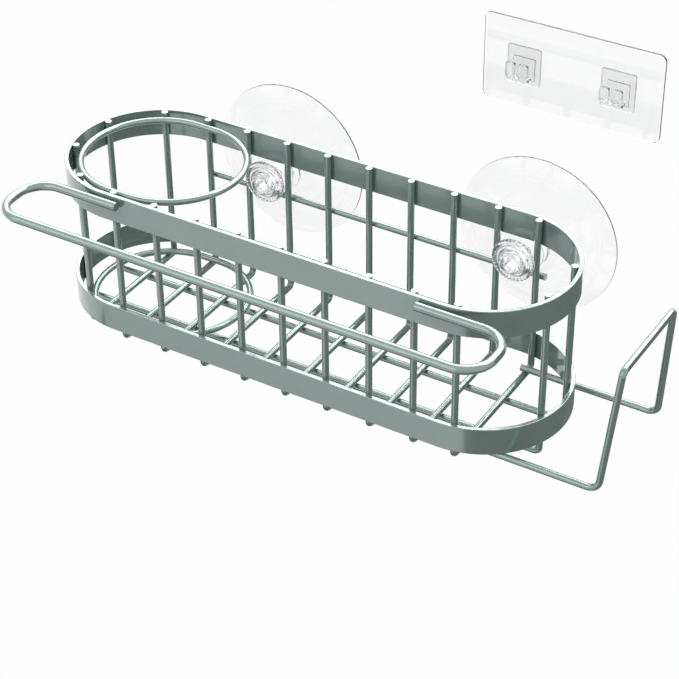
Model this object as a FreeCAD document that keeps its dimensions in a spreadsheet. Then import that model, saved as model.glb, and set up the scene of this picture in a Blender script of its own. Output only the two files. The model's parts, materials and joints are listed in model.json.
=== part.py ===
import FreeCAD, Part
import math
import os
import re

import Sketcher

# Sink-side holder of welded wire: a basket of two flat bands and bent wires, two hoops at its
# left end, a front rail, an end rack and a hanger wire, held on a wall by two clear suction
# cups with thumb nuts. A clear adhesive plate with hooks is the other way to hang it.
# Frame: +X along the basket, +Y into the wall, +Z up; the origin is on the wall, midway
# between the two cups' centres. All lengths are millimetres.

# Driving sizes: name, value, what it measures
SIZES = (
    ("band_width", 78.6, "outer width of both bands, front to back"),
    ("band_thick", 1.9, "thickness of the bands' strip"),
    ("band_edge", 0.3, "rounding of the strip's edges"),
    ("upper_band_height", 12.75, "height of the upper strip"),
    ("lower_band_height", 12.8, "height of the lower strip"),
    ("basket_height", 71.3, "upper band's top edge to lower band's bottom edge"),
    ("wire_dia", 3.0, "cross wires and lengthwise wires"),
    ("wire_bend", 2.2, "centre line radius of these wires' bends"),
    ("weld_gap", 0.05, "gap kept at each welded contact"),
    ("pitch", 21.0, "spacing of the cross wires"),
    ("last_pitch", 19.2, "spacing of the last two cross wires"),
    ("first_wire_reach", 16.75, "first cross wire beyond the left round end's centre"),
    ("last_wire_reach", 6.05, "last cross wire beyond the right round end's centre"),
    ("long_spacing", 24.0, "between the two lengthwise wires"),
    ("hoop_dia", 3.0, "wire of the two hoops"),
    ("hoop_straight", 8.8, "straight side of the hoops"),
    ("hoop_shift", 0.5, "hoops' round end inside the left round end's centre"),
    ("hoop_drop", 2.6, "upper hoop's centre line below the upper band's top edge"),
    ("lower_hoop_inset", 4.0, "lower hoop inside the centre lines of the cross wires"),
    ("rail_dia", 4.0, "wire of the front rail"),
    ("rail_drop", 3.0, "rail's centre line below the upper band's top edge"),
    ("rail_depth", 28.75, "rail's front bar out from its welded ends"),
    ("rail_weld", 9.5, "length of each rail end that lies on the band's straight side"),
    ("rail_overhang", 33.3, "rail beyond each round end's centre"),
    ("rack_dia", 3.0, "wire of the end rack"),
    ("rack_stub", 1.7, "rack's legs past the last cross wire"),
    ("rack_gap", 29.05, "upper band's right end to the foot of the rack's uprights"),
    ("rack_inset", 3.95, "rack's legs inside the bends of the last cross wire"),
    ("rack_taper", 5.05, "how far each upright leans in"),
    ("rack_top_drop", 15.3, "rack's top bar below the upper band's top edge"),
    ("rack_lean", 4.4, "how far the rack's top leans out"),
    ("rack_bend", 5.0, "centre line radius of the rack's lower bends"),
    ("rack_top_bend", 2.6, "centre line radius of the rack's upper bends"),
    ("hanger_dia", 3.0, "hanger wire behind the back wires"),
    ("hanger_clear", 2.7, "studs to the hanger wire below them"),
    ("hanger_stub", 3.0, "hanger wire's ends past the outer wires that carry it"),
    ("stud_clear", 4.75, "upper band's bottom edge to the studs below it"),
    ("cup_dia", 75.0, "suction cups"),
    ("cup_land", 1.5, "flat ring of a cup's rim that lies on the wall"),
    ("cup_lip", 1.0, "thickness of a cup's rim"),
    ("cup_cavity", 3.0, "depth of the hollow behind a pressed cup"),
    ("dome_rise", 9.0, "height of a cup's dome where it meets the hub"),
    ("hub_dia", 22.0, "cups' hub"),
    ("hub_front", 15.3, "wall to the hub's face"),
    ("clamp_gap", 0.3, "play on both sides of the clamped wires"),
    ("stud_dia", 8.0, "threaded stud"),
    ("stud_socket", 6.0, "depth of the stud's seat in the hub"),
    ("socket_fit", 0.02, "radial gap of the stud in the hub"),
    ("knob_dia", 20.0, "thumb nuts' flange"),
    ("knob_flange", 2.4, "thickness of a thumb nut's flange"),
    ("knob_thick", 6.0, "thickness of a thumb nut with its boss"),
    ("knob_edge", 0.6, "bevel on a thumb nut's edges"),
    ("boss_dia", 12.8, "foot of a thumb nut's boss"),
    ("boss_taper", 1.2, "how far the boss narrows on each side"),
    ("dimple_dia", 3.4, "hollow in the middle of the boss"),
    ("dimple_depth", 0.9, "hollow in the middle of the boss"),
    ("knob_bore", 3.6, "depth of the thread in a thumb nut"),
    ("thread_fit", 0.05, "radial gap of the thumb nut on the stud"),
    ("plate_margin", 11.5, "plate's edge beyond its pads on the left and right"),
    ("plate_head", 11.25, "plate's edge beyond its pads above and below"),
    ("plate_thick", 1.2, "adhesive plate"),
    ("plate_corner", 3.0, "rounding of the plate's corners"),
    ("plate_side", 74.0, "plate's centre to the right of the origin"),
    ("plate_rise", 80.0, "plate's centre above the origin"),
    ("film_thick", 0.5, "double-sided film behind the plate"),
    ("film_margin", 1.0, "plate's border that the film leaves free"),
    ("pad_width", 15.0, "hook pads on the plate"),
    ("pad_height", 17.0, "hook pads on the plate"),
    ("pad_thick", 1.2, "hook pads on the plate"),
    ("finger_width", 4.3, "one finger of a hook"),
    ("finger_height", 8.2, "one finger of a hook"),
    ("finger_thick", 1.4, "one finger of a hook"),
    ("finger_space", 1.4, "between the two fingers of a hook"),
    ("finger_play", 0.4, "play of the hanger wire in a hook"),
)

# Number of cross wires, and places in pitches of these wires
WIRE_COUNT = 10
LEFT_CUP_PITCHES = 2
HANGER_PITCHES = 1
PAD_PITCHES = 2
FINGER_COUNT = 2

# Shares of the dome's width and height, from the rim to the hub
DOME_SHARES = ((0.42, 0.20), (0.78, 0.55))
# Radius of the rail's bends as a share of its depth
RAIL_BEND_SHARE = 0.4325
# Shares of the free height and width of a pad that lie below and left of the fingers
FINGER_RISE_SHARE = 0.35
FINGER_SIDE_SHARE = 0.3

LAST_WIRE = WIRE_COUNT - 1

# Sizes that follow from the driving ones, as formulas
DERIVED = {
    "band_radius": "band_width / 2",
    "wire_reach": "band_radius - band_thick - weld_gap - wire_dia / 2",
    "cup_drop": "upper_band_height + stud_clear + stud_dia / 2",
    "wall_gap": "hub_front + clamp_gap + hanger_dia / 2 + hanger_y",
    "first_x": f"-(({LEFT_CUP_PITCHES} + {LAST_WIRE - 1} + 1 / 2) * pitch + last_pitch / 2) / 2",
    "last_x": f"first_x + {LAST_WIRE - 1} * pitch + last_pitch",
    "cup_x": "last_x - last_pitch / 2",
    "left_x": "first_x + first_wire_reach",
    "right_x": "last_x - last_wire_reach",
    "upper_bottom": "cup_drop - upper_band_height",
    "lower_bottom": "cup_drop - basket_height",
    "leg_z": "lower_bottom - weld_gap - rack_dia / 2",
    "base_z": "leg_z - rack_dia / 2 - weld_gap - wire_dia / 2",
    "long_z": "base_z - wire_dia - weld_gap",
    "long_reach": "sqrt(wire_reach ^ 2 - (long_spacing / 2) ^ 2)",
    "hoop_start": "left_x + hoop_shift",
    "hoop_end": "hoop_start + hoop_straight",
    "upper_hoop_reach": "wire_reach - wire_dia / 2 - weld_gap - hoop_dia / 2",
    "lower_hoop_reach": "wire_reach - lower_hoop_inset",
    "lower_hoop_z": "base_z + wire_dia / 2 + weld_gap + hoop_dia / 2",
    "rail_back": "-(band_radius + weld_gap + rail_dia / 2)",
    "rail_front": "rail_back - rail_depth",
    "rail_bend": f"rail_depth * {RAIL_BEND_SHARE}",
    "last_reach": "sqrt(wire_reach ^ 2 - last_wire_reach ^ 2)",
    "rack_base": "last_reach - wire_bend - rack_inset",
    "rack_top": "rack_base - rack_taper",
    "hanger_y": "wire_reach + wire_dia / 2 + weld_gap + hanger_dia / 2",
    "hanger_start": f"first_x + {HANGER_PITCHES} * pitch - hanger_stub",
    "hanger_z": "-(stud_dia / 2 + hanger_clear + hanger_dia / 2)",
    "socket_floor": "hub_front - stud_socket",
    "boss_top": "boss_dia / 2 - boss_taper",
    "plate_width": f"{PAD_PITCHES} * pitch + pad_width + 2 * plate_margin",
    "plate_height": "pad_height + 2 * plate_head",
    "finger_pitch": "finger_width + finger_space",
    "finger_gap": "hanger_dia + finger_play",
}

# A sketch's own numbers for its axes and for the points of a curve
V_AXIS, H_AXIS = range(-2, 0)
START, END, CENTRE = range(1, 4)
ROOT = H_AXIS
UP = FreeCAD.Vector(0, 0, 1)

doc = FreeCAD.newDocument("wall_basket")
sheet = doc.addObject("Spreadsheet::Sheet", "sizes")
for row, (alias, size, note) in enumerate(SIZES, start=1):
    sheet.set(f"A{row}", note)
    sheet.set(f"B{row}", str(size))
    sheet.setAlias(f"B{row}", alias)
doc.recompute()

ALIASES = {alias for alias, size, note in SIZES}
nodes = []


def formula(text):
    """Writes a formula of size names as an expression that reads the sheet."""

    def word(match):
        name = match.group(0)
        if name in DERIVED:
            return "(" + formula(DERIVED[name]) + ")"
        return "sizes." + name if name in ALIASES else name

    return re.sub(r"[a-z_]+", word, str(text))


def value(text):
    """Works out a formula of size names as a number."""
    return float(sheet.evalExpression(formula(text)))


def bind(thing, prop, text):
    """Ties a property of a document object to a formula."""
    thing.setExpression(prop, formula(text))


def place(thing, x="0", y="0", z="0"):
    """Ties an object's position to three formulas."""
    for axis, text in zip("xyz", (x, y, z)):
        bind(thing, f"Placement.Base.{axis}", text)


def add_node(kind, label):
    """Makes a sub-part, an object of its own with the label that names its file."""
    thing = doc.addObject(kind, label)
    thing.Label = label
    nodes.append(thing)
    return thing


def add_sketch(body, name, role, offset="0"):
    """Makes a sketch on one of its body's origin planes, shifted along the plane's normal."""
    sketch = body.newObject("Sketcher::SketchObject", name)
    support = [plane for plane in body.Origin.OriginFeatures if plane.Role == role]
    sketch.AttachmentSupport = [(support[0], "")]
    sketch.MapMode = "FlatFace"
    bind(sketch, "AttachmentOffset.Base.z", offset)
    return sketch


def hold(sketch, kind, places, text):
    """Adds a dimension to a sketch and ties it to a formula."""
    index = sketch.addConstraint(Sketcher.Constraint(kind, *places, value(text)))
    bind(sketch, f"Constraints[{index}]", text)


def pin(sketch, item, point, corner):
    """Holds a point of a sketch at a pair of formulas; a zero lies on the axis."""
    for kind, axis, text in (("DistanceX", V_AXIS, corner[0]), ("DistanceY", H_AXIS, corner[1])):
        if text == "0":
            sketch.addConstraint(Sketcher.Constraint("PointOnObject", item, point, axis))
        else:
            hold(sketch, kind, (ROOT, START, item, point), text)


def flat(corner):
    """Turns a pair of formulas into a point."""
    return FreeCAD.Vector(value(corner[0]), value(corner[1]), 0)


def bend_points(before, corner, after, radius):
    """Finds where a bend at a corner starts and ends, and its centre."""
    back = (before - corner).normalize()
    ahead = (after - corner).normalize()
    half = back.getAngle(ahead) / 2
    reach = radius / math.tan(half)
    middle = (back + ahead).normalize()
    return corner + back * reach, corner + ahead * reach, corner + middle * (radius / math.sin(half))


def draw_bends(sketch, corners, bend):
    """Draws an open run of straight lines with tangent bends at its inner corners.

    The corners are pairs of formulas, each held by its own dimensions, and every bend has the
    radius that the formula bend gives.
    """
    points = [flat(corner) for corner in corners]
    radius = value(bend)
    bends = [bend_points(*points[i - 1:i + 2], radius) for i in range(1, len(points) - 1)]
    starts = [points[0]] + [arc[1] for arc in bends]
    ends = [arc[0] for arc in bends] + [points[-1]]
    lines = []
    for i, (start, end) in enumerate(zip(starts, ends)):
        lines.append(sketch.addGeometry(Part.LineSegment(start, end)))
        if i == len(bends):
            continue
        arc_start, arc_end, centre = bends[i]
        turns_left = (points[i + 1] - points[i]).cross(points[i + 2] - points[i + 1]).z > 0
        first, last = (arc_start, arc_end) if turns_left else (arc_end, arc_start)
        angles = [math.atan2(*(p - centre)[1::-1]) for p in (first, last)]
        arc = sketch.addGeometry(Part.ArcOfCircle(Part.Circle(centre, UP, radius), *angles))
        bends[i] = (arc, START if turns_left else END, END if turns_left else START)
    pin(sketch, lines[0], START, corners[0])
    pin(sketch, lines[-1], END, corners[-1])
    for i, (arc, arrive, leave) in enumerate(bends):
        sketch.addConstraint(Sketcher.Constraint("Tangent", lines[i], END, arc, arrive))
        sketch.addConstraint(Sketcher.Constraint("Tangent", arc, leave, lines[i + 1], START))
        hold(sketch, "Radius", (arc,), bend)
        corner = sketch.addGeometry(Part.Point(points[i + 1]), True)
        pin(sketch, corner, START, corners[i + 1])
        sketch.addConstraint(Sketcher.Constraint("PointOnObject", corner, START, lines[i]))
        sketch.addConstraint(Sketcher.Constraint("PointOnObject", corner, START, lines[i + 1]))


def draw_slot(sketch, left, right, reach):
    """Draws a closed loop of two straight sides and two half circles about the X axis."""
    x0, x1, radius = value(left), value(right), value(reach)
    top = sketch.addGeometry(
        Part.LineSegment(FreeCAD.Vector(x0, radius, 0), FreeCAD.Vector(x1, radius, 0)))
    quarter = math.pi / 2
    round_right = sketch.addGeometry(Part.ArcOfCircle(
        Part.Circle(FreeCAD.Vector(x1, 0, 0), UP, radius), -quarter, quarter))
    bottom = sketch.addGeometry(
        Part.LineSegment(FreeCAD.Vector(x1, -radius, 0), FreeCAD.Vector(x0, -radius, 0)))
    round_left = sketch.addGeometry(Part.ArcOfCircle(
        Part.Circle(FreeCAD.Vector(x0, 0, 0), UP, radius), quarter, math.pi + quarter))
    for joint in ((top, END, round_right, END), (round_right, START, bottom, START),
                  (bottom, END, round_left, END), (round_left, START, top, START)):
        sketch.addConstraint(Sketcher.Constraint("Tangent", *joint))
    sketch.addConstraint(Sketcher.Constraint("Horizontal", top))
    pin(sketch, round_left, CENTRE, (left, "0"))
    pin(sketch, round_right, CENTRE, (right, "0"))
    hold(sketch, "Radius", (round_right,), reach)


def draw_polygon(sketch, corners):
    """Draws a closed polygon whose corners are pairs of formulas."""
    points = [flat(corner) for corner in corners]
    count = len(points)
    sides = [sketch.addGeometry(Part.LineSegment(points[i], points[(i + 1) % count]))
             for i in range(count)]
    for i, side in enumerate(sides):
        following = sides[(i + 1) % count]
        sketch.addConstraint(Sketcher.Constraint("Coincident", side, END, following, START))
        pin(sketch, side, START, corners[i])


def draw_circle(sketch, corner, dia):
    """Draws a circle about a pair of formulas."""
    circle = sketch.addGeometry(Part.Circle(flat(corner), UP, value(dia) / 2))
    pin(sketch, circle, CENTRE, corner)
    hold(sketch, "Diameter", (circle,), dia)


def sweep(body, path, section):
    """Sweeps a round section along all the edges of a path."""
    pipe = body.newObject("PartDesign::AdditivePipe", body.Name + "_pipe")
    doc.recompute()
    pipe.Profile = section
    pipe.Spine = (path, [f"Edge{i}" for i in range(1, len(path.Shape.Edges) + 1)])


def bent_wire(label, role, corners, bend, dia):
    """Makes a wire bent in one plane; its first run starts square to the other plane used.

    Args:
        label: name of the sub-part.
        role: origin plane that holds the path.
        corners: the path's ends and corners, as pairs of formulas.
        bend: centre line radius of the bends.
        dia: diameter of the wire.
    """
    body = add_node("PartDesign::Body", label)
    path = add_sketch(body, label + "_path", role)
    draw_bends(path, corners, bend)
    across, along = corners[0]
    square = {
        "YZ_Plane": ("XY_Plane", along, ("0", across)),
        "XZ_Plane": ("XY_Plane", along, (across, "0")),
        "XY_Plane": ("YZ_Plane", across, (along, "0")),
    }
    section_role, offset, centre = square[role]
    section = add_sketch(body, label + "_section", section_role, offset)
    draw_circle(section, centre, dia)
    sweep(body, path, section)
    return body


def edges_at(feature, test):
    """Names the edges of a feature that pass a test."""
    return [f"Edge{i}" for i, edge in enumerate(feature.Shape.Edges, start=1) if test(edge)]


def round_edges(body, feature, radius, test):
    """Rounds those edges of a feature that pass a test."""
    doc.recompute()
    fillet = body.newObject("PartDesign::Fillet", body.Name + "_rounding")
    fillet.Base = (feature, edges_at(feature, test))
    bind(fillet, "Radius", radius)


def is_level(edge):
    """Tells whether an edge lies in a horizontal plane."""
    return edge.BoundBox.ZLength < edge.Length * Part.Precision.confusion()


def make_band(label, height, bottom):
    """Makes one flat strip bent into a long loop with round ends."""
    body = add_node("PartDesign::Body", label)
    loop = add_sketch(body, label + "_loop", "XY_Plane")
    draw_slot(loop, "left_x", "right_x", "band_radius")
    draw_slot(loop, "left_x", "right_x", "band_radius - band_thick")
    pad = body.newObject("PartDesign::Pad", label + "_strip")
    pad.Profile = loop
    bind(pad, "Length", height)
    round_edges(body, pad, "band_edge", is_level)
    place(body, y="-wall_gap", z=bottom)


def make_cross_wires():
    """Makes the wires that run down the front, under the base and up the back."""
    for i in range(WIRE_COUNT):
        x = f"first_x + {i} * pitch" if i < LAST_WIRE else "last_x"
        reach = "wire_reach"
        if i == 0:
            reach = "sqrt(wire_reach ^ 2 - first_wire_reach ^ 2)"
        elif i == LAST_WIRE:
            reach = "last_reach"
        front = f"-{reach}"
        corners = ((front, "cup_drop"), (front, "base_z"), (reach, "base_z"), (reach, "cup_drop"))
        wire = bent_wire(f"cross_wire_{i + 1:02d}", "YZ_Plane", corners, "wire_bend", "wire_dia")
        place(wire, x=x, y="-wall_gap")


def make_long_wires():
    """Makes the two lengthwise wires below the cross wires, turned up inside the round ends."""
    left = "left_x - long_reach"
    right = "right_x + long_reach"
    corners = ((left, "cup_drop"), (left, "long_z"), (right, "long_z"), (right, "cup_drop"))
    for label, y in (("long_wire_front", "-wall_gap - long_spacing / 2"),
                     ("long_wire_back", "-wall_gap + long_spacing / 2")):
        wire = bent_wire(label, "XZ_Plane", corners, "wire_bend", "wire_dia")
        place(wire, y=y)


def make_hoop(label, reach, z):
    """Makes one closed hoop of wire at the left end."""
    body = add_node("PartDesign::Body", label)
    path = add_sketch(body, label + "_path", "XY_Plane")
    draw_slot(path, "hoop_start", "hoop_end", reach)
    section = add_sketch(body, label + "_section", "YZ_Plane", "hoop_start")
    draw_circle(section, (reach, "0"), "hoop_dia")
    sweep(body, path, section)
    place(body, y="-wall_gap", z=z)


def make_rail():
    """Makes the front rail, a flat loop whose two ends are welded to the upper band."""
    left = "left_x - rail_overhang"
    right = "right_x + rail_overhang"
    corners = (("left_x + rail_weld", "rail_back"), (left, "rail_back"), (left, "rail_front"),
               (right, "rail_front"), (right, "rail_back"), ("right_x - rail_weld", "rail_back"))
    rail = bent_wire("front_rail", "XY_Plane", corners, "rail_bend", "rail_dia")
    place(rail, y="-wall_gap", z="cup_drop - rail_drop")


def make_rack():
    """Makes the end rack: two legs under the base, leaning uprights and a top bar, one wire."""
    foot = value("right_x + band_radius + rack_gap")
    start = value("last_x - rack_stub")
    low = value("leg_z")
    half_base = value("rack_base")
    half_top = value("rack_top")
    top = value("cup_drop - rack_top_drop")
    lean = value("rack_lean")
    side = [FreeCAD.Vector(start, half_base, low), FreeCAD.Vector(foot, half_base, low),
            FreeCAD.Vector(foot + lean, half_top, top)]
    mirrored = [FreeCAD.Vector(p.x, -p.y, p.z) for p in side]
    points = mirrored + side[::-1]
    half_bends = [value("rack_bend"), value("rack_top_bend")]
    bends = half_bends + half_bends[::-1]
    edges = []
    leave = points[0]
    for before, corner, after, radius in zip(points, points[1:], points[2:], bends):
        arrive, following, centre = bend_points(before, corner, after, radius)
        inner = centre + (corner - centre).normalize() * radius
        edges += [Part.makeLine(leave, arrive), Part.Arc(arrive, inner, following).toShape()]
        leave = following
    edges.append(Part.makeLine(leave, points[-1]))
    section = Part.Wire(Part.makeCircle(value("rack_dia / 2"), points[0], points[1] - points[0]))
    rack = add_node("Part::Feature", "end_rack")
    rack.Shape = Part.Wire(edges).makePipeShell([section], True, False)
    place(rack, y="-wall_gap")


def make_rod(label, dia, length, turn):
    """Makes a straight round rod along an axis that a turn gives."""
    rod = add_node("Part::Cylinder", label)
    bind(rod, "Radius", f"{dia} / 2")
    bind(rod, "Height", length)
    rod.Placement.Rotation = turn
    return rod


def make_hanger():
    """Makes the straight wire behind the back wires that rests on studs or hooks."""
    along_x = FreeCAD.Rotation(UP, FreeCAD.Vector(1, 0, 0))
    hanger = make_rod("hanger_wire", "hanger_dia", "last_x + hanger_stub - hanger_start", along_x)
    place(hanger, "hanger_start", "hanger_y - wall_gap", "hanger_z")


def turned(label, corners):
    """Makes a round piece by turning a profile of radius and depth about the Y axis."""
    body = add_node("PartDesign::Body", label)
    profile = add_sketch(body, label + "_profile", "XY_Plane")
    draw_polygon(profile, corners)
    turn = body.newObject("PartDesign::Revolution", label + "_turn")
    turn.Profile = profile
    turn.ReferenceAxis = (profile, ["V_Axis"])
    return body


def make_cup(side, x, reach):
    """Makes one suction cup with its hub, its threaded stud and its thumb nut.

    Args:
        side: left or right.
        x: place of the cup's centre along the wall.
        reach: basket's centre plane to the nearest wire that the thumb nut clamps.
    """
    rim = "cup_dia / 2"
    hub = "hub_dia / 2"
    seat = "stud_dia / 2 + socket_fit"
    dome = [(f"{rim} - ({rim} - {hub}) * {out}", f"-cup_lip - (dome_rise - cup_lip) * {rise}")
            for out, rise in DOME_SHARES]
    cup = turned(f"suction_cup_{side}", [
        (f"{rim} - cup_land", "0"), (rim, "0"), (rim, "-cup_lip"), *dome, (hub, "-dome_rise"),
        (hub, "-hub_front"), (seat, "-hub_front"), (seat, "-socket_floor"), ("0", "-socket_floor"),
        ("0", "-cup_cavity")])
    place(cup, x=x)
    into_room = FreeCAD.Rotation(UP, FreeCAD.Vector(0, -1, 0))
    knob_back = f"wall_gap - {reach} + wire_dia / 2 + clamp_gap"
    stud_length = f"{knob_back} + knob_bore - clamp_gap - socket_floor"
    stud = make_rod(f"cup_stud_{side}", "stud_dia", stud_length, into_room)
    place(stud, x, "-socket_floor")
    nut = "knob_dia / 2"
    bore = "stud_dia / 2 + thread_fit"
    knob = turned(f"knob_{side}", [
        (bore, "0"), (f"{nut} - knob_edge", "0"), (nut, "-knob_edge"),
        (nut, "-knob_flange + knob_edge"), (f"{nut} - knob_edge", "-knob_flange"),
        ("boss_dia / 2", "-knob_flange"), ("boss_top", "-knob_thick + knob_edge"),
        ("boss_top - knob_edge", "-knob_thick"), ("dimple_dia / 2", "-knob_thick"),
        ("0", "-knob_thick + dimple_depth"), ("0", "-knob_bore"), (bore, "-knob_bore")])
    place(knob, x, f"-({knob_back})")


def make_sheet(label, width, height, thick, corner, depth):
    """Makes one flat sheet of the adhesive plate with rounded corners, standing off the wall."""
    body = add_node("PartDesign::Body", label)
    outline = add_sketch(body, label + "_outline", "XZ_Plane")
    right = f"({width}) / 2"
    top = f"({height}) / 2"
    draw_polygon(outline, ((f"-{right}", f"-{top}"), (right, f"-{top}"), (right, top),
                           (f"-{right}", top)))
    pad = body.newObject("PartDesign::Pad", label + "_pad")
    pad.Profile = outline
    bind(pad, "Length", thick)
    round_edges(body, pad, corner, lambda edge: edge.BoundBox.YLength > edge.Length / 2)
    place(body, "plate_side", f"-({depth})", "plate_rise")


def add_block(label, sizes, corner):
    """Adds a box with its sizes and its lowest corner tied to formulas."""
    block = doc.addObject("Part::Box", label)
    for prop, text in zip(("Length", "Width", "Height"), sizes):
        bind(block, prop, text)
    place(block, *corner)
    return block


def make_hook(side, sign):
    """Makes one hook of the adhesive plate: a pad and two fingers that stand off it."""
    face = "film_thick + plate_thick"
    left = f"plate_side + ({sign} * {PAD_PITCHES} * pitch - pad_width) / 2"
    low = "plate_rise - pad_height / 2"
    spare = f"pad_width - {FINGER_COUNT} * finger_pitch + finger_space"
    finger_left = f"{left} + ({spare}) * {FINGER_SIDE_SHARE}"
    finger_low = f"{low} + (pad_height - finger_height) * {FINGER_RISE_SHARE}"
    reach = "pad_thick + finger_gap + finger_thick"
    blocks = [add_block(f"pad_{side}", ("pad_width", "pad_thick", "pad_height"),
                        (left, f"-({face}) - pad_thick", low))]
    for i in range(FINGER_COUNT):
        x = f"{finger_left} + {i} * finger_pitch"
        blocks.append(add_block(f"foot_{side}_{i}", ("finger_width", reach, "finger_thick"),
                                (x, f"-({face}) - ({reach})", finger_low)))
        blocks.append(add_block(f"finger_{side}_{i}",
                                ("finger_width", "finger_thick", "finger_height"),
                                (x, f"-({face}) - ({reach})", finger_low)))
    hook = add_node("Part::MultiFuse", f"plate_hook_{side}")
    hook.Shapes = blocks


def make_plate():
    """Makes the clear plate with its film and its two hooks, on the same wall as the cups."""
    make_sheet("plate_film", "plate_width - 2 * film_margin", "plate_height - 2 * film_margin",
               "film_thick", "plate_corner - film_margin", "0")
    make_sheet("wall_plate", "plate_width", "plate_height", "plate_thick", "plate_corner",
               "film_thick")
    for side, sign in (("left", -1), ("right", 1)):
        make_hook(side, sign)


make_band("upper_band", "upper_band_height", "upper_bottom")
make_band("lower_band", "lower_band_height", "lower_bottom")
make_cross_wires()
make_long_wires()
make_hoop("hoop_upper", "upper_hoop_reach", "cup_drop - hoop_drop")
make_hoop("hoop_lower", "lower_hoop_reach", "lower_hoop_z")
make_rail()
make_rack()
make_hanger()
make_cup("left", "-cup_x", "wire_reach")
make_cup("right", "cup_x", "last_reach")
make_plate()
doc.recompute()

faults = [thing.Name for thing in doc.Objects if {"Invalid", "Error"} & set(thing.State)]
faults += [node.Label for node in nodes if node.Shape.isNull() or not node.Shape.isValid()]
if faults:
    raise RuntimeError("these objects failed: " + ", ".join(faults))

os.makedirs("parts", exist_ok=True)
for node in nodes:
    node.Shape.exportStep(f"parts/{node.Label}.step")
    print(node.Label, len(node.Shape.Solids), round(node.Shape.Volume, 1))
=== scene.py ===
"""Looks of a welded wire basket for a sink wall, which hangs on two clear suction cups.

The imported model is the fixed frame: its painted wires and bands stay and get their finish here, and
the moulded clear pieces are modelled anew in the same places. Lengths in the classes are millimetres.
"""

import json
import logging
import math
from collections.abc import Callable, Iterable, Sequence
from dataclasses import dataclass, replace
from enum import Enum

import bpy
from mathutils import Matrix, Vector


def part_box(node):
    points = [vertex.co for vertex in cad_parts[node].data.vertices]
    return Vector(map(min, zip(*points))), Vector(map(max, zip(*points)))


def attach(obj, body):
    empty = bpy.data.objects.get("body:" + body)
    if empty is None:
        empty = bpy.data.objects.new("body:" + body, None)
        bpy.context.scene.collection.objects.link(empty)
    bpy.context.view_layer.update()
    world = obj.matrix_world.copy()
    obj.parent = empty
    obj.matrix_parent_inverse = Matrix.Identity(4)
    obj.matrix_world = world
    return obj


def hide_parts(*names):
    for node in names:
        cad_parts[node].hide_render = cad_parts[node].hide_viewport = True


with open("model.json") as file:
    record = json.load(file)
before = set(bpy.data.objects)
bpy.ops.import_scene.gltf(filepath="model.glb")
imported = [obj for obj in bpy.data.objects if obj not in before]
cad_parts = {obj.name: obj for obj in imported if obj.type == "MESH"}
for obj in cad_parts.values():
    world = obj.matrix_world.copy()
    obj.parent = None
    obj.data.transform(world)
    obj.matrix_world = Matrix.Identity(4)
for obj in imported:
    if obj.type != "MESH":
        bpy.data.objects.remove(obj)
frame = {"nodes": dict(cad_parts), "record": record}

LOG = logging.getLogger("wall_basket")
MM = 0.001

# Doubled points and touching edges, in metres
MERGE_GAP = 1e-7
TOUCH_GAP = 1e-5
# A direction lies along Y above the first of these shares, and across Y below the second
ALONG = 0.9
ACROSS = 0.1
# Edges that turn by more than this, in degrees, are rounded
SHARP_ANGLE = 40.0
# Weight of the large faces in the shading of flat pieces
FACE_WEIGHT = 100
# Sockets of a Mix node that mixes colours
MIX_FACTOR = 0
MIX_FIRST = 6
MIX_SECOND = 7
MIX_RESULT = 2

Colour = tuple[float, float, float, float]
Point = tuple[float, float, float]
Profile = Sequence[tuple[float, float]]


class Slot(Enum):
    """The record's material slots of the pieces that are modelled here."""

    CLEAR_VINYL = "clear_vinyl"
    CLEAR_PLASTIC = "clear_plastic"
    ADHESIVE_FILM = "adhesive_film"


class Body(Enum):
    """The bodies that pieces ride on."""

    FIXINGS = "wall_fixings"
    BASKET = "basket"
    LEFT_NUT = "left_nut"
    RIGHT_NUT = "right_nut"


class Pick(Enum):
    """What edit mode selects."""

    POINTS = "VERT"
    EDGES = "EDGE"
    FACES = "FACE"


class Side(Enum):
    """The two ends of the holder, as seen from the room."""

    LEFT = "left"
    RIGHT = "right"


class Value:
    """A shader socket whose arithmetic adds Math nodes to its tree."""

    def __init__(self, tree: "ShaderTree", socket: bpy.types.NodeSocket) -> None:
        """Keeps the socket and the tree that it belongs to."""
        self.tree = tree
        self.socket = socket

    def _math(self, operation: str, *terms: "Value | float") -> "Value":
        """Adds one Math node.

        Args:
            operation: Blender's name of the operation.
            terms: the node's inputs in order.

        Returns:
            The node's result.
        """
        node = self.tree.node("ShaderNodeMath", {"operation": operation}, dict(enumerate(terms)))
        return Value(self.tree, node.outputs[0])

    def __add__(self, other: "Value | float") -> "Value":
        """Adds two values."""
        return self._math("ADD", self, other)

    __radd__ = __add__

    def __sub__(self, other: "Value | float") -> "Value":
        """Takes a value off this one."""
        return self._math("SUBTRACT", self, other)

    def __rsub__(self, other: "Value | float") -> "Value":
        """Takes this value off a number."""
        return self._math("SUBTRACT", other, self)

    def __mul__(self, other: "Value | float") -> "Value":
        """Multiplies two values."""
        return self._math("MULTIPLY", self, other)

    __rmul__ = __mul__

    def __pow__(self, power: "Value | float") -> "Value":
        """Raises this value to a power."""
        return self._math("POWER", self, power)

    def __rpow__(self, base: float) -> "Value":
        """Raises a number to the power of this value."""
        return self._math("POWER", base, self)


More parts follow.
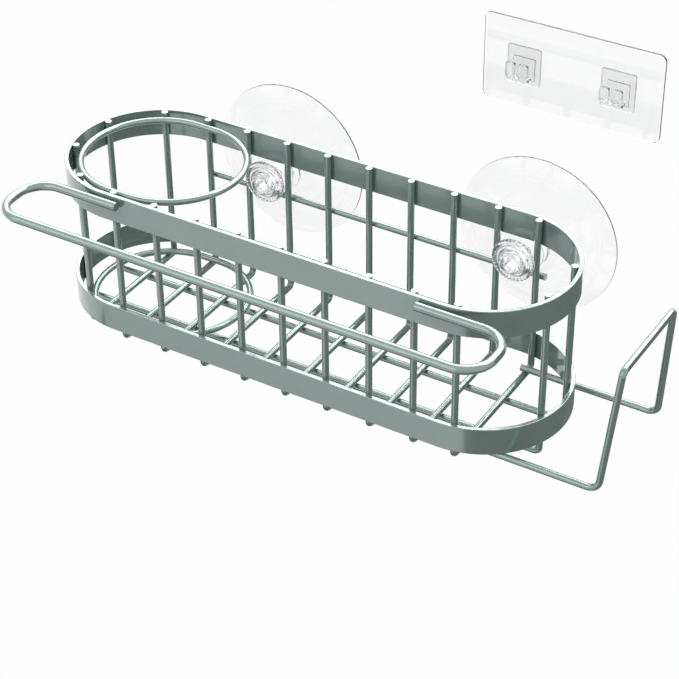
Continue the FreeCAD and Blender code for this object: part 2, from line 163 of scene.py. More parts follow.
class ShaderTree:
    """The node tree of one material or world."""

    def __init__(self, owner: bpy.types.Material | bpy.types.World) -> None:
        """Empties the owner's node tree and keeps it.

        Args:
            owner: the material or world.
        """
        owner.use_nodes = True
        self.tree = owner.node_tree
        self.tree.nodes.clear()

    def node(self, kind: str, settings: dict | None = None,
             inputs: dict | None = None) -> bpy.types.Node:
        """Adds one node.

        Args:
            kind: the node's type.
            settings: its properties, which are set first.
            inputs: values or links, by the name or number of the socket.

        Returns:
            The new node.
        """
        node = self.tree.nodes.new(kind)
        for name, setting in (settings or {}).items():
            setattr(node, name, setting)
        for name, given in (inputs or {}).items():
            if isinstance(given, Value):
                self.tree.links.new(given.socket, node.inputs[name])
            else:
                node.inputs[name].default_value = given
        return node

    def result(self, kind: str, settings: dict | None = None, inputs: dict | None = None,
               output: str | int = 0) -> Value:
        """Adds one node and takes one of its outputs.

        Args:
            kind: the node's type.
            settings: its properties.
            inputs: values or links of its sockets.
            output: name or number of the output.

        Returns:
            The output as a value.
        """
        return Value(self, self.node(kind, settings, inputs).outputs[output])

    def place(self) -> Value:
        """Gives the Object coordinates."""
        return self.result("ShaderNodeTexCoord", output="Object")

    def noise(self, scale: float, detail: float) -> Value:
        """Gives a soft noise from 0 to 1.

        Args:
            scale: waves per metre.
            detail: octaves.

        Returns:
            The noise.
        """
        inputs = {"Vector": self.place(), "Scale": scale, "Detail": detail}
        return self.result("ShaderNodeTexNoise", inputs=inputs)

    def tint(self, factor: Value, first: "Value | Colour", second: "Value | Colour") -> Value:
        """Mixes two colours.

        Args:
            factor: share of the second colour.
            first: colour at 0.
            second: colour at 1.

        Returns:
            The mixed colour.
        """
        settings = {"data_type": "RGBA", "clamp_factor": True}
        inputs = {MIX_FACTOR: factor, MIX_FIRST: first, MIX_SECOND: second}
        return self.result("ShaderNodeMix", settings, inputs, MIX_RESULT)

    def blend(self, share: Value, first: Value, second: Value) -> Value:
        """Mixes two shaders.

        Args:
            share: share of the second shader.
            first: shader at 0.
            second: shader at 1.

        Returns:
            The mixed shader.
        """
        return self.result("ShaderNodeMixShader", inputs={0: share, 1: first, 2: second})

    def glow(self, colour: Colour, strength: float) -> Value:
        """Gives a shader that shines by itself.

        Args:
            colour: its colour.
            strength: its brightness, 1 for white paper.

        Returns:
            The shader.
        """
        return self.result("ShaderNodeEmission", inputs={"Color": colour, "Strength": strength})

    def ripple(self, height: Value, depth: float, strength: float) -> Value:
        """Turns a height into a surface normal.

        Args:
            height: the height from 0 to 1.
            depth: what a height of 1 stands for, in metres.
            strength: share of the full effect.

        Returns:
            The normal.
        """
        inputs = {"Height": height, "Distance": depth, "Strength": strength}
        return self.result("ShaderNodeBump", inputs=inputs)

    def close(self, shader: Value, kind: str = "ShaderNodeOutputMaterial") -> None:
        """Links the last shader to the output of a material or, by its kind, of a world."""
        self.node(kind, inputs={"Surface": shader})


@dataclass(frozen=True)
class SagePaint:
    """Metallic sage green enamel on the steel: fine flake, a clear coat, a trace of orange peel."""

    deep: Colour = (0.188, 0.26, 0.238, 1.0)
    light: Colour = (0.27, 0.358, 0.332, 1.0)
    metallic: float = 0.55
    roughness: float = 0.15
    roughness_play: float = 0.1
    coat: float = 0.85
    coat_roughness: float = 0.05
    cloud_scale: float = 55.0
    cloud_detail: float = 2.0
    flake_scale: float = 2600.0
    flake_detail: float = 1.0
    flake_share: float = 0.45
    peel_scale: float = 620.0
    peel_detail: float = 1.0
    peel_depth: float = 0.00004
    peel_strength: float = 0.35

    def material(self) -> bpy.types.Material:
        """Makes the paint.

        Returns:
            The material.
        """
        made = bpy.data.materials.new("sage_paint")
        tree = ShaderTree(made)
        cloud = tree.noise(self.cloud_scale, self.cloud_detail)
        flake = tree.noise(self.flake_scale, self.flake_detail)
        shade = cloud * (1.0 - self.flake_share) + flake * self.flake_share
        peel = tree.noise(self.peel_scale, self.peel_detail)
        shader = tree.result("ShaderNodeBsdfPrincipled", inputs={
            "Base Color": tree.tint(shade, self.deep, self.light),
            "Metallic": self.metallic,
            "Roughness": cloud * self.roughness_play + self.roughness,
            "Coat Weight": self.coat,
            "Coat Roughness": self.coat_roughness,
            "Normal": tree.ripple(peel, self.peel_depth, self.peel_strength)})
        tree.close(shader)
        return made


@dataclass(frozen=True)
class ClearMoulding:
    """Clear moulded plastic: nearly all light passes, with faint flow marks and painted shade on faces
    seen edge-on.
    """

    name: str
    body: Colour
    haze: Colour
    # Painted shade: the dark colour mixed in towards faces seen edge-on, and how sharply it comes in
    painted_edge_shade: Colour
    painted_edge_shade_power: float
    roughness: float
    roughness_play: float
    ior: float
    flow_scale: float
    flow_depth: float
    flow_strength: float
    flow_detail: float = 2.0
    slant_blend: float = 0.5
    clearness: float = 1.0

    def material(self) -> bpy.types.Material:
        """Makes the plastic.

        Returns:
            The material.
        """
        made = bpy.data.materials.new(self.name)
        tree = ShaderTree(made)
        flow = tree.noise(self.flow_scale, self.flow_detail)
        # Painted shade: the colour darkens towards faces seen edge-on, in place of the dark rims that
        # refraction gives
        slant = tree.result("ShaderNodeLayerWeight", inputs={"Blend": self.slant_blend}, output="Facing")
        inner = tree.tint(flow, self.body, self.haze)
        shader = tree.result("ShaderNodeBsdfPrincipled", inputs={
            "Base Color": tree.tint(slant ** self.painted_edge_shade_power, inner, self.painted_edge_shade),
            "Roughness": flow * self.roughness_play + self.roughness,
            "IOR": self.ior,
            "Transmission Weight": self.clearness,
            "Normal": tree.ripple(flow, self.flow_depth, self.flow_strength)})
        tree.close(shader)
        return made


# Each finish below has a dark colour of painted shade, which is mixed in where a face is seen edge-on
CLEAR_VINYL = ClearMoulding(
    name="clear_vinyl", body=(0.945, 0.947, 0.948, 1.0), haze=(0.975, 0.976, 0.976, 1.0),
    painted_edge_shade=(0.14, 0.14, 0.145, 1.0), painted_edge_shade_power=6.0, roughness=0.015, roughness_play=0.04,
    ior=1.42, flow_scale=40.0, flow_depth=0.0006, flow_strength=0.2)
CLEAR_PLASTIC = ClearMoulding(
    name="clear_plastic", body=(0.972, 0.976, 0.978, 1.0), haze=(0.985, 0.987, 0.987, 1.0),
    painted_edge_shade=(0.12, 0.12, 0.13, 1.0), painted_edge_shade_power=2.8, roughness=0.008, roughness_play=0.02,
    ior=1.49, flow_scale=90.0, flow_depth=0.0002, flow_strength=0.04)
NUT_PLASTIC = replace(
    CLEAR_PLASTIC, name="nut_plastic", body=(0.9, 0.895, 0.913, 1.0), haze=(0.95, 0.947, 0.955, 1.0),
    painted_edge_shade=(0.06, 0.06, 0.07, 1.0), painted_edge_shade_power=2.2)
FROSTED_PLASTIC = ClearMoulding(
    name="frosted_plastic", body=(0.93, 0.933, 0.936, 1.0), haze=(0.965, 0.967, 0.968, 1.0),
    painted_edge_shade=(0.4, 0.4, 0.41, 1.0), painted_edge_shade_power=5.0, roughness=0.42, roughness_play=0.1,
    ior=1.47, flow_scale=160.0, flow_depth=0.0002, flow_strength=0.3)


@dataclass(frozen=True)
class TapeFilm:
    """Double-sided film behind the plate: milky, nearly clear, with tiny trapped bubbles."""

    milk: Colour = (0.86, 0.87, 0.875, 1.0)
    pale: Colour = (0.93, 0.935, 0.94, 1.0)
    clear_share: float = 0.04
    bubble_share: float = 0.05
    bubble_scale: float = 160.0
    bubble_detail: float = 3.0
    bubble_power: float = 3.0
    roughness: float = 0.35

    def material(self) -> bpy.types.Material:
        """Makes the film.

        Returns:
            The material.
        """
        made = bpy.data.materials.new("tape_film")
        tree = ShaderTree(made)
        bubbles = tree.noise(self.bubble_scale, self.bubble_detail)
        shader = tree.result("ShaderNodeBsdfPrincipled", inputs={
            "Base Color": tree.tint(bubbles, self.milk, self.pale),
            "Roughness": bubbles * self.bubble_share + self.roughness,
            "Alpha": (bubbles ** self.bubble_power) * self.bubble_share + self.clear_share})
        tree.close(shader)
        return made


class Workpiece:
    """A mesh on the bench, which edit-mode operators shape from a primitive into a finished piece."""

    def __init__(self, name: str) -> None:
        """Takes the primitive that was just added and names it.

        Args:
            name: the name of the piece and of its mesh.
        """
        self.piece = bpy.context.object
        self.piece.name = name
        self.piece.data.name = name

    @classmethod
    def turned(cls, name: str, profile: Profile, sides: int) -> "Workpiece":
        """Turns a closed profile about Z, from pole to pole.

        Args:
            name: the piece's name.
            profile: radius and height of each ring in millimetres; both ends are poles of radius 0.
            sides: points in each ring.

        Returns:
            The turned piece, at the origin.
        """
        deselect()
        rings = [(radius * MM, height * MM) for radius, height in profile]
        first_pole, first_ring = rings[0], rings[1]
        start, height = first_ring
        bpy.ops.mesh.primitive_circle_add(vertices=sides, radius=start, location=(0, 0, height))
        bpy.ops.object.transform_apply(location=True, rotation=True, scale=True)
        work = cls(name)
        bpy.ops.object.mode_set(mode="EDIT")
        bpy.ops.mesh.select_mode(type=Pick.EDGES.value)
        bpy.ops.mesh.select_all(action="SELECT")
        for last, ring in zip(rings[1:], rings[2:]):
            work._next_ring(last, ring)
        bpy.ops.mesh.select_all(action="DESELECT")
        bpy.ops.mesh.select_non_manifold()
        work._next_ring(first_ring, first_pole)
        work.outward()
        bpy.ops.object.mode_set(mode="OBJECT")
        return work

    @staticmethod
    def _next_ring(last: tuple[float, float], ring: tuple[float, float]) -> None:
        """Extrudes the selected ring to the next one, or to a pole.

        Args:
            last: radius and height of the selected ring in metres.
            ring: radius and height of the next one, with a radius of 0 at a pole.
        """
        rise = ring[1] - last[1]
        bpy.ops.mesh.extrude_region_move(TRANSFORM_OT_translate={"value": (0, 0, rise)})
        if ring[0] == 0:
            bpy.ops.mesh.merge(type="CENTER")
        else:
            ratio = ring[0] / last[0]
            bpy.ops.transform.resize(value=(ratio, ratio, 1), center_override=(0, 0, 0))

    @staticmethod
    def outward() -> None:
        """Merges doubled points and points every face outwards."""
        bpy.ops.mesh.select_all(action="SELECT")
        bpy.ops.mesh.remove_doubles(threshold=MERGE_GAP)
        bpy.ops.mesh.normals_make_consistent(inside=False)

    @classmethod
    def block(cls, name: str, low: Point, high: Point) -> "Workpiece":
        """Adds a block between two corners.

        Args:
            name: the piece's name.
            low: lowest corner in metres.
            high: highest corner in metres.

        Returns:
            The block, with its place in its mesh.
        """
        deselect()
        low_corner, high_corner = Vector(low), Vector(high)
        bpy.ops.mesh.primitive_cube_add(size=1, location=(low_corner + high_corner) / 2)
        bpy.context.object.scale = high_corner - low_corner
        bpy.ops.object.transform_apply(location=True, rotation=True, scale=True)
        return cls(name)

    def pick(self, kind: Pick, test: Callable[[Vector, Vector], bool]) -> "Workpiece":
        """Selects points, edges or faces in code and stays in edit mode.

        Args:
            kind: what is selected.
            test: takes the middle and the direction (a normal, or an edge's run) of each.

        Returns:
            This workpiece.
        """
        self.activate()
        bpy.ops.object.mode_set(mode="EDIT")
        bpy.ops.mesh.select_mode(type=kind.value)
        bpy.ops.mesh.select_all(action="DESELECT")
        bpy.ops.object.mode_set(mode="OBJECT")
        mesh = self.piece.data
        if kind is Pick.POINTS:
            for point in mesh.vertices:
                point.select = test(point.co, point.normal)
        elif kind is Pick.FACES:
            for face in mesh.polygons:
                face.select = test(face.center, face.normal)
        else:
            for edge in mesh.edges:
                start, end = (mesh.vertices[i].co for i in edge.vertices)
                edge.select = test((start + end) / 2, (end - start).normalized())
        bpy.ops.object.mode_set(mode="EDIT")
        return self

    def activate(self) -> None:
        """Makes this piece the only selected and active object."""
        deselect()
        self.piece.select_set(True)
        bpy.context.view_layer.objects.active = self.piece

    def bevel(self, width: float, steps: int) -> "Workpiece":
        """Bevels the picked edges and leaves edit mode.

        Args:
            width: bevel width in millimetres.
            steps: segments of the bevel.

        Returns:
            This workpiece.
        """
        bpy.ops.mesh.bevel(offset=width * MM, segments=steps, affect="EDGES")
        bpy.ops.object.mode_set(mode="OBJECT")
        return self

    def soften(self, width: float, steps: int) -> "Workpiece":
        """Rounds every sharp edge.

        Args:
            width: width of the rounding in millimetres.
            steps: segments of the rounding.

        Returns:
            This workpiece.
        """
        self.activate()
        bpy.ops.object.modifier_add(type="BEVEL")
        modifier = self.piece.modifiers[-1]
        modifier.limit_method = "ANGLE"
        modifier.angle_limit = math.radians(SHARP_ANGLE)
        modifier.width = width * MM
        modifier.segments = steps
        bpy.ops.object.modifier_apply(modifier=modifier.name)
        return self

    def smooth(self, levels: int, angle: float) -> "Workpiece":
        """Subdivides the piece and shades it smooth up to an angle.

        Args:
            levels: subdivision levels, 0 for none.
            angle: sharpest angle that is still smooth, in degrees.

        Returns:
            This workpiece.
        """
        self.activate()
        if levels:
            bpy.ops.object.modifier_add(type="SUBSURF")
            modifier = self.piece.modifiers[-1]
            modifier.levels = levels
            modifier.render_levels = levels
            bpy.ops.object.modifier_apply(modifier=modifier.name)
        bpy.ops.object.shade_smooth_by_angle(angle=math.radians(angle))
        return self

    def flatten(self, angle: float) -> "Workpiece":
        """Shades the piece smooth up to an angle and keeps its large faces flat.

        Args:
            angle: sharpest angle that is still smooth, in degrees.

        Returns:
            This workpiece.
        """
        self.smooth(0, angle)
        bpy.ops.object.modifier_add(type="WEIGHTED_NORMAL")
        modifier = self.piece.modifiers[-1]
        modifier.weight = FACE_WEIGHT
        modifier.keep_sharp = True
        bpy.ops.object.modifier_apply(modifier=modifier.name)
        return self

    def face_room(self, centre: Vector) -> "Workpiece":
        """Lays the piece's +Z towards the room, -Y, and puts its origin at a point on the wall.

        Args:
            centre: where the piece's axis meets the wall, in metres.

        Returns:
            This workpiece.
        """
        self.activate()
        self.piece.rotation_euler = (math.pi / 2, 0, 0)
        self.piece.location = centre
        bpy.ops.object.transform_apply(location=True, rotation=True, scale=True)
        return self

    def copied(self, name: str, step: Vector) -> "Workpiece":
        """Makes a copy with its own mesh.

        Args:
            name: the copy's name.
            step: how far the copy stands from this piece, in metres.

        Returns:
            The copy.
        """
        self.activate()
        bpy.ops.object.duplicate(linked=False)
        bpy.context.object.location = step
        bpy.ops.object.transform_apply(location=True, rotation=True, scale=True)
        return Workpiece(name)

    def fuse(self, other: "Workpiece") -> "Workpiece":
        """Joins another piece to this one as one closed shell.

        Args:
            other: the piece that is used up.

        Returns:
            This workpiece.
        """
        self.activate()
        bpy.ops.object.modifier_add(type="BOOLEAN")
        modifier = self.piece.modifiers[-1]
        modifier.operation = "UNION"
        modifier.object = other.piece
        bpy.ops.object.modifier_apply(modifier=modifier.name)
        other.activate()
        bpy.ops.object.delete()
        return self

    def dress(self, material: bpy.types.Material, slot: Slot, body: Body, *nodes: str) -> "Workpiece":
        """Gives the piece its finish, its body and the nodes that it stands for.

        Args:
            material: the finish.
            slot: the record's slot of that finish; not used.
            body: what the piece moves with.
            nodes: the nodes that it replaces.

        Returns:
            This workpiece.
        """
        self.piece.data.materials.clear()
        self.piece.data.materials.append(material)
        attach(self.piece, body.value)
        if nodes:
            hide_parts(*nodes)
        LOG.info("piece %s on %s", self.piece.name, body.value)
        return self


def deselect() -> None:
    """Leaves edit mode and deselects every object."""
    if bpy.context.object and bpy.context.object.mode != "OBJECT":
        bpy.ops.object.mode_set(mode="OBJECT")
    bpy.ops.object.select_all(action="DESELECT")


def middle(node: str) -> Vector:
    """Gives the middle of a node's box."""
    low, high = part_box(node)
    return (low + high) / 2


def runs_deep(_: Vector, run: Vector) -> bool:
    """Tells whether an edge runs through a sheet's thickness, along Y."""
    return abs(run.y) > ALONG


def runs_flat(_: Vector, run: Vector) -> bool:
    """Tells whether an edge runs round a sheet's face, across Y."""
    return abs(run.y) < ACROSS


def faces_room(_: Vector, normal: Vector) -> bool:
    """Tells whether a face looks into the room, along -Y."""
    return normal.y < -ALONG


@dataclass
class Basket:
    """The welded steel basket with its hoops, rail, rack and hanger wire."""

    paint: bpy.types.Material

    def build(self) -> None:
        """Paints every steel node."""
        for name in frame["record"]["behaviour"]["bodies"][Body.BASKET.value]:
            node = frame["nodes"][name]
            node.data.materials.clear()
            node.data.materials.append(self.paint)
            LOG.info("paint %s", name)


@dataclass
class SuctionCups:
    """The two clear vinyl cups, each with its threaded stud and its thumb nut."""

    vinyl: bpy.types.Material
    plastic: bpy.types.Material
    nut_plastic: bpy.types.Material
    sides: int = 48
    rim: float = 37.5
    hub: float = 10.0
    hub_front: float = 15.3
    cup_levels: int = 2
    cup_angle: float = 40.0
    stud_radius: float = 4.0
    stud_seat: float = 9.3
    stud_play: float = 0.02
    stud_lead: float = 0.3
    stud_chamfer: float = 0.5
    stud_angle: float = 60.0
    seat_play: float = 0.05
    tip_play: float = 0.05
    thread_pitch: float = 1.5
    thread_depth: float = 0.45
    thread_reach: float = 0.1
    thread_rings: int = 6
    nut_radius: float = 10.0
    nut_levels: int = 1
    nut_angle: float = 50.0
    bore_play: float = 0.1
    nut_ribs: int = 36
    rib_points: int = 4
    rib_depth: float = 0.35
    rib_reach: float = 0.3

    def cup_profile(self) -> Profile:
        """Gives the cup's section.

        Returns:
            The section from the hollow at its back, round the rim, to the stud's seat.
        """
        rim, hub, front = self.rim, self.hub, self.hub_front
        seat, bottom = self.stud_radius + self.seat_play, self.stud_seat
        hollow = [(0, 3.0), (6, 2.6), (16, 1.75), (27, 0.85), (rim - 1.6, 0.12), (rim - 1.2, 0.0)]
        lip = [(rim - 0.2, 0.0), (rim, 0.25), (rim, 1.05), (rim - 0.4, 1.35)]
        skirt = [(rim - 3, 1.5), (31.0, 1.9), (30.7, 2.0), (30.4, 2.4)]
        ridge = [(29.8, 2.6), (29.2, 2.5), (28.8, 2.35), (28.4, 2.4)]
        dome = [(26.4, 2.75), (21.5, 3.9), (16.8, 5.4), (13.4, 7.2), (hub + 0.5, 9.0)]
        stem = [(hub, 9.8), (hub - 0.1, front - 0.8), (hub - 0.3, front - 0.2), (hub - 0.9, front)]
        seating = [(seat + 0.7, front), (seat + 0.15, front - 0.1), (seat, front - 0.5)]
        floor = [(seat, bottom + 0.1), (seat - 0.2, bottom - 0.05), (0, bottom - 0.1)]
        return hollow + lip + skirt + ridge + dome + stem + seating + floor

    def nut_profile(self, back: float) -> Profile:
        """Gives the thumb nut's section.

        Args:
            back: height of the nut's back face over the wall.

        Returns:
            The section from the bottom of its thread, round the flange, to the dimple in its boss.
        """
        bore = self.stud_radius + self.bore_play
        flange = self.nut_radius
        thread = [(0, 3.62), (bore - 0.3, 3.6), (bore, 3.4), (bore, 0.35)]
        mouth = [(bore + 0.35, 0.05), (bore + 0.8, 0)]
        edge = [(flange - 0.7, 0), (flange - 0.15, 0.15), (flange, 0.5)]
        rim = [(flange, 1.9), (flange - 0.15, 2.25), (flange - 0.7, 2.4)]
        groove = [(8.7, 2.4), (8.4, 2.3), (8.2, 1.75), (7.9, 1.65), (7.6, 1.75), (7.4, 2.35)]
        shoulder = [(7.2, 2.45), (6.8, 2.45), (6.5, 2.6), (6.3, 3.0)]
        boss = [(4.9, 5.0), (4.6, 5.55), (4.2, 5.9), (3.7, 6.0), (3.4, 5.9), (3.2, 5.45), (2.8, 5.3)]
        dimple = [(1.9, 5.3), (1.6, 5.2), (1.45, 4.75), (1.2, 4.6), (0, 4.55)]
        section = thread + mouth + edge + rim + groove + shoulder + boss + dimple
        return [(radius, back + height) for radius, height in section]

    def make_nut(self, side: Side, back: float, centre: Vector) -> Workpiece:
        """Models a thumb nut with a ribbed flange.

        Args:
            side: which cup it belongs to.
            back: height of its back face over the wall in millimetres.
            centre: where its axis meets the wall.

        Returns:
            The nut.
        """
        sides = self.rib_points * self.nut_ribs
        nut = Workpiece.turned(f"thumb_nut_{side.value}", self.nut_profile(back), sides)
        groove_start = (self.nut_radius - self.rib_reach) * MM

        def in_groove(place: Vector, _: Vector) -> bool:
            """Tells whether a point of the flange lies between two ribs."""
            turn = round(math.atan2(place.y, place.x) / math.tau * sides)
            return place.xy.length > groove_start and turn % self.rib_points >= self.rib_points // 2

        nut.pick(Pick.POINTS, in_groove)
        ratio = 1 - self.rib_depth / self.nut_radius
        bpy.ops.transform.resize(value=(ratio, ratio, 1), center_override=(0, 0, 0))
        bpy.ops.object.mode_set(mode="OBJECT")
        return nut.smooth(self.nut_levels, self.nut_angle).face_room(centre)

    def make_stud(self, side: Side, tip: float, centre: Vector) -> Workpiece:
        """Models a threaded stud, a turned bar whose points are then moved in along a helix.

        Args:
            side: which cup it belongs to.
            tip: height of its tip over the wall in millimetres.
            centre: where its axis meets the wall.

        Returns:
            The stud.
        """
        radius, seat, end = self.stud_radius - self.stud_play, self.stud_seat, tip - self.tip_play
        length = tip - seat
        count = round(length / self.thread_pitch * self.thread_rings)
        start, run = seat + self.stud_lead, length - 2 * self.stud_lead
        walls = [(radius, start + run * i / count) for i in range(count + 1)]
        narrow = radius - self.stud_chamfer
        profile = [(0, seat), (narrow, seat), *walls, (narrow, end), (0, end)]
        stud = Workpiece.turned(f"threaded_stud_{side.value}", profile, self.sides)
        for point in stud.piece.data.vertices:
            around = math.atan2(point.co.y, point.co.x) / math.tau
            if point.co.xy.length > (radius - self.thread_reach) * MM:
                phase = (point.co.z / MM / self.thread_pitch - around) % 1
                cut = self.thread_depth * abs(2 * phase - 1)
                point.co.xy *= 1 - cut / radius
        return stud.smooth(0, self.stud_angle).face_room(centre)

    def build(self) -> None:
        """Models both cups with their studs and nuts and dresses them."""
        left = middle(f"suction_cup_{Side.LEFT.value}")
        right = middle(f"suction_cup_{Side.RIGHT.value}")
        places = {Side.LEFT: Vector((left.x, 0, left.z)), Side.RIGHT: Vector((right.x, 0, right.z))}
        first = Workpiece.turned("cup_shell_left", self.cup_profile(), self.sides)
        first.smooth(self.cup_levels, self.cup_angle).face_room(places[Side.LEFT])
        second = first.copied("cup_shell_right", places[Side.RIGHT] - places[Side.LEFT])
        bodies = {Side.LEFT: Body.LEFT_NUT, Side.RIGHT: Body.RIGHT_NUT}
        for side, shell in ((Side.LEFT, first), (Side.RIGHT, second)):
            word = side.value
            shell.dress(self.vinyl, Slot.CLEAR_VINYL, Body.FIXINGS, f"suction_cup_{word}")
            tip = -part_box(f"cup_stud_{word}")[0].y / MM
            stud = self.make_stud(side, tip, places[side])
            stud.dress(self.plastic, Slot.CLEAR_PLASTIC, Body.FIXINGS, f"cup_stud_{word}")
            back = -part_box(f"knob_{word}")[1].y / MM
            nut = self.make_nut(side, back, places[side])
            nut.dress(self.nut_plastic, Slot.CLEAR_PLASTIC, bodies[side], f"knob_{word}")


@dataclass
class AdhesivePlate:
    """The clear plate with its film and its two hooks."""

    plastic: bpy.types.Material
    frost: bpy.types.Material
    film: bpy.types.Material
    corner: float = 3.0
    corner_steps: int = 6
    edge: float = 0.25
    edge_steps: int = 2
    flat_angle: float = 35.0
    play: float = 0.06
    film_corner: float = 2.0
    film_edge: float = 0.08
    pad_thick: float = 1.2
    pad_corner: float = 0.8
    pad_steps: int = 3
    panel_sides_shares: tuple[float, float] = (0.2, 0.86)
    panel_ends_shares: tuple[float, float] = (0.16, 0.75)
    panel_thick: float = 0.7
    finger_count: int = 2
    finger_width: float = 4.3
    finger_thick: float = 1.4
    finger_space: float = 1.4
    finger_height: float = 8.2
    finger_low: float = 3.08
    finger_left: float = 1.5
    bend_outer: float = 2.2
    bend_steps: int = 6
    tip_share: float = 0.22
    tip_steps: int = 4

    def make_sheet(self, name: str, node: str, corner: float, edge: float, play: float) -> Workpiece:
        """Models one sheet with rounded corners and broken edges.

        Args:
            name: the piece's name.
            node: the node whose box it fills.
            corner: rounding of its four corners.
            edge: bevel along its faces.
            play: how far it stays clear of the faces in front and behind.

        Returns:
            The sheet.
        """
        low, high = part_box(node)
        gap = Vector((0, play * MM, 0))
        sheet = Workpiece.block(name, low + gap, high - gap)
        sheet.pick(Pick.EDGES, runs_deep).bevel(corner, self.corner_steps)
        sheet.pick(Pick.EDGES, runs_flat).bevel(edge, self.edge_steps)
        return sheet.flatten(self.flat_angle)

    def make_finger(self, name: str, left: float, low: float, root: float, front: float) -> Workpiece:
        """Models one finger: a foot that leaves the pad, a bend and an upright tongue with a round tip.

        Args:
            name: the finger's name until it is fused.
            left: its left side, in metres as all that follow.
            low: its underside.
            root: where it starts, on the pad.
            front: its front face.

        Returns:
            The finger.
        """
        thick, bend = self.finger_thick * MM, self.bend_outer * MM
        right = left + self.finger_width * MM
        finger = Workpiece.block(name, (left, front + bend, low), (right, root, low + thick))
        finger.pick(Pick.FACES, faces_room)
        centre = (left, front + bend, low + bend)
        bpy.ops.mesh.spin(steps=self.bend_steps, angle=math.pi / 2, center=centre, axis=(1, 0, 0))
        rise = (self.finger_height - self.bend_outer) * MM
        bpy.ops.mesh.extrude_region_move(TRANSFORM_OT_translate={"value": (0, 0, rise)})
        finger.outward()
        top = low + self.finger_height * MM

        def at_tip(place: Vector, run: Vector) -> bool:
            """Tells whether an edge is one of the two corners at the tip."""
            return abs(place.z - top) < TOUCH_GAP and runs_deep(place, run)

        finger.pick(Pick.EDGES, at_tip).bevel(self.finger_width * self.tip_share, self.tip_steps)
        return finger.soften(self.edge, self.edge_steps)

    def make_pad(self) -> Workpiece:
        """Models the left hook's pad, a frosted block with rounded corners.

        Returns:
            The pad.
        """
        low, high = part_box("plate_hook_left")
        front = high.y - self.pad_thick * MM
        pad = Workpiece.block("hook_pad_left", (low.x, front, low.z), high)
        pad.pick(Pick.EDGES, runs_deep).bevel(self.pad_corner, self.pad_steps)
        return pad.soften(self.edge, self.edge_steps).flatten(self.flat_angle)

    def make_insert(self) -> Workpiece:
        """Models the left hook's clear insert, a panel with two fingers.

        Returns:
            The insert.
        """
        low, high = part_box("plate_hook_left")
        face = high.y - self.pad_thick * MM
        left, right = (low.x + (high.x - low.x) * share for share in self.panel_sides_shares)
        bottom, top = (low.z + (high.z - low.z) * share for share in self.panel_ends_shares)
        insert = Workpiece.block("hook_insert_left", (left, face - self.panel_thick * MM, bottom),
                                 (right, face - self.play * MM, top))
        insert.soften(self.edge, self.edge_steps)
        under = low.z + self.finger_low * MM
        for i in range(self.finger_count):
            side = low.x + (self.finger_left + i * (self.finger_width + self.finger_space)) * MM
            finger = self.make_finger(f"finger_{i}", side, under, face - self.play * MM / 2, low.y)
            insert.fuse(finger)
        return insert.flatten(self.flat_angle)

    def build(self) -> None:
        """Models the film, the plate and its two hooks and dresses them."""
        film = self.make_sheet("tape_film", "plate_film", self.film_corner, self.film_edge, self.play)
        film.dress(self.film, Slot.ADHESIVE_FILM, Body.FIXINGS, "plate_film")
        plate = self.make_sheet("backing_plate", "wall_plate", self.corner, self.edge, 0.0)
        plate.dress(self.plastic, Slot.CLEAR_PLASTIC, Body.FIXINGS, "wall_plate")
        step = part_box("plate_hook_right")[0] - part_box("plate_hook_left")[0]
        pad = self.make_pad()
        insert = self.make_insert()
        other_pad = pad.copied("hook_pad_right", step)
        other_insert = insert.copied("hook_insert_right", step)
        pad.dress(self.frost, Slot.CLEAR_PLASTIC, Body.FIXINGS, "plate_hook_left")
        other_pad.dress(self.frost, Slot.CLEAR_PLASTIC, Body.FIXINGS, "plate_hook_right")
        for piece in (insert, other_insert):
            piece.dress(self.plastic, Slot.CLEAR_PLASTIC, Body.FIXINGS)


@dataclass(frozen=True)
class SoftBox:
    """One soft lamp: where it stands, how large it is and how bright."""

    name: str
    place: Point
    size: float
    power: float


@dataclass(frozen=True)
class Card:
    """A plain card whose front only reflections show: its middle, its facing, its sides and its tone."""

    name: str
    place: Point
    facing: Point
    sides: tuple[float, float]
    tone: float


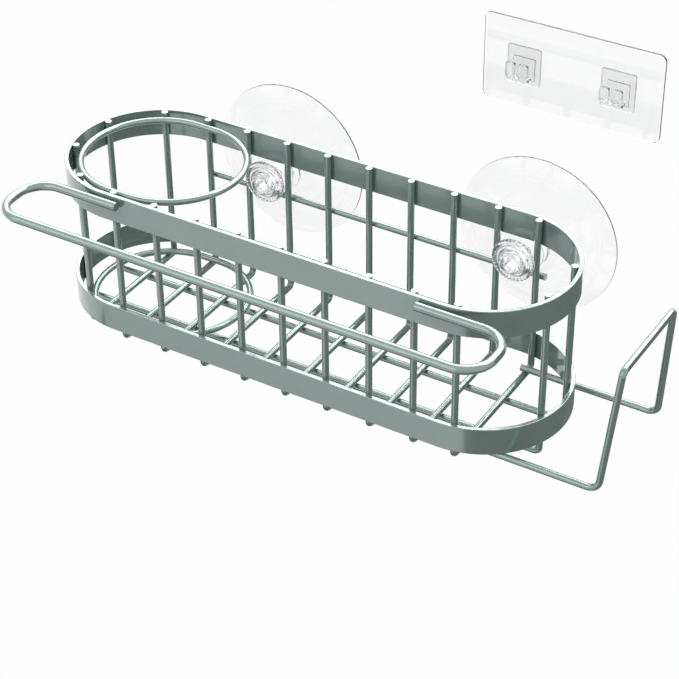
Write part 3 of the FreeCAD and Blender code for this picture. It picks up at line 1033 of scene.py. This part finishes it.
@dataclass
class Studio:
    """Floor, lamps, cards, world and camera."""

    floor_height: float = -0.42
    floor_half: float = 6.0
    floor_tone: Colour = (0.82, 0.825, 0.83, 1.0)
    white: Colour = (1.0, 1.0, 1.0, 1.0)
    white_light: float = 1.0
    white_share: float = 0.93
    world_light: float = 0.55
    camera_place: Point = (0.371807, -0.668734, 0.472734)
    camera_azimuth: float = 31.526
    camera_elevation: float = 35.788
    camera_roll: float = -0.644
    camera_lens: float = 107.19
    boxes: tuple[SoftBox, ...] = (
        SoftBox("key", (-0.55, -0.55, 1.05), 0.7, 8.0),
        SoftBox("rim", (-0.62, 1.0, 0.85), 0.8, 8.0),
        SoftBox("fill", (1.1, -0.5, 0.5), 0.8, 4.0))
    cards: tuple[Card, ...] = (
        Card("card_right", (0.41, -0.2, -0.3), (0, 0, 1), (0.58, 1.1), 0.18),
        Card("card_under", (-0.125, -0.15, -0.25), (0, 0, 1), (0.45, 0.25), 0.1),
        Card("card_back", (0.515, 0.3, 0.05), (0, -1, 0), (0.47, 0.4), 0.12),
        Card("card_back_low", (0.3, 0.3, -0.285), (0, -1, 0), (0.9, 0.27), 0.15),
        Card("card_over", (-0.3, 1.2, 1.0), (0, 0, -1), (2.6, 1.9), 5.0),
        Card("card_front", (-0.55, -1.0, 0.6), (0, 1, 0), (1.4, 1.0), 2.0))

    @staticmethod
    def seen_rays(tree: ShaderTree) -> Value:
        """Tells the rays that see the studio from those that only light.

        Args:
            tree: the tree that gets the node.

        Returns:
            1 for rays from the camera, from gloss and through clear pieces, and 0 for the rest.
        """
        path = tree.node("ShaderNodeLightPath")
        names = ("Is Camera Ray", "Is Glossy Ray", "Is Transmission Ray")
        camera, gloss, clear = (Value(tree, path.outputs[name]) for name in names)
        return camera + gloss + clear

    def make_floor(self) -> None:
        """Lays a pale floor that looks white and keeps the shadow."""
        deselect()
        bpy.ops.mesh.primitive_plane_add(size=2 * self.floor_half, location=(0, 0, self.floor_height))
        floor = bpy.context.object
        floor.name = "floor"
        made = bpy.data.materials.new("floor_paper")
        tree = ShaderTree(made)
        paper = tree.result("ShaderNodeBsdfDiffuse", inputs={"Color": self.floor_tone})
        share = self.seen_rays(tree) * self.white_share
        tree.close(tree.blend(share, paper, tree.glow(self.white, self.white_light)))
        floor.data.materials.append(made)

    def make_world(self) -> None:
        """Makes the world white to look at and plain to light with."""
        world = bpy.data.worlds.new("studio")
        bpy.context.scene.world = world
        tree = ShaderTree(world)
        light, seen = (
            tree.result("ShaderNodeBackground", inputs={"Color": self.white, "Strength": strength})
            for strength in (self.world_light, self.white_light))
        tree.close(tree.blend(self.seen_rays(tree), light, seen), "ShaderNodeOutputWorld")

    def make_boxes(self) -> None:
        """Hangs the soft lamps, each turned to the holder."""
        for box in self.boxes:
            lamp = bpy.data.lights.new(box.name, "AREA")
            lamp.size = box.size
            lamp.energy = box.power
            made = bpy.data.objects.new(box.name, lamp)
            bpy.context.scene.collection.objects.link(made)
            made.location = box.place
            made.rotation_euler = (-Vector(box.place)).to_track_quat("-Z", "Y").to_euler()
            made.visible_camera = False
            made.visible_glossy = False
            made.visible_transmission = False

    def make_cards(self) -> None:
        """Hangs the cards that give the steel its light and dark reflections."""
        for card in self.cards:
            deselect()
            turn = Vector(card.facing).to_track_quat("Z", "Y").to_euler()
            bpy.ops.mesh.primitive_plane_add(size=1, location=card.place, rotation=turn)
            made = bpy.context.object
            made.name = card.name
            made.scale = (*card.sides, 1)
            made.data.materials.append(bpy.data.materials.new(card.name))
            tree = ShaderTree(made.active_material)
            behind = tree.result("ShaderNodeNewGeometry", output="Backfacing")
            clear = tree.result("ShaderNodeBsdfTransparent")
            tree.close(tree.blend(behind, tree.glow(self.white, card.tone), clear))
            made.visible_camera = False
            made.visible_diffuse = False
            made.visible_shadow = False
            made.visible_transmission = card.tone > self.white_light

    def make_camera(self) -> None:
        """Sets the camera at the photograph's viewpoint."""
        azimuth, elevation, roll = (math.radians(angle) for angle in (
            self.camera_azimuth, self.camera_elevation, self.camera_roll))
        back = Vector((math.sin(azimuth) * math.cos(elevation),
                       -math.cos(azimuth) * math.cos(elevation), math.sin(elevation)))
        right = Vector((math.cos(azimuth), math.sin(azimuth), 0))
        up = back.cross(right)
        across = math.cos(roll) * right + math.sin(roll) * up
        upward = math.cos(roll) * up - math.sin(roll) * right
        data = bpy.data.cameras.new("camera")
        data.lens = self.camera_lens
        camera = bpy.data.objects.new("camera", data)
        bpy.context.scene.collection.objects.link(camera)
        turn = Matrix((across, upward, back)).transposed().to_4x4()
        camera.matrix_world = Matrix.Translation(self.camera_place) @ turn
        bpy.context.scene.camera = camera

    def build(self) -> None:
        """Builds the studio."""
        bpy.context.scene.view_settings.view_transform = "Standard"
        self.make_floor()
        self.make_world()
        self.make_boxes()
        self.make_cards()
        self.make_camera()


def main() -> None:
    """Builds the holder's looks and the studio round it."""
    logging.basicConfig(level=logging.INFO, format="%(name)s: %(message)s")
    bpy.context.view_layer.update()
    plastic = CLEAR_PLASTIC.material()
    Basket(SagePaint().material()).build()
    SuctionCups(CLEAR_VINYL.material(), plastic, NUT_PLASTIC.material()).build()
    AdhesivePlate(plastic, FROSTED_PLASTIC.material(), TapeFilm().material()).build()
    Studio().build()


if __name__ == "__main__":
    main()
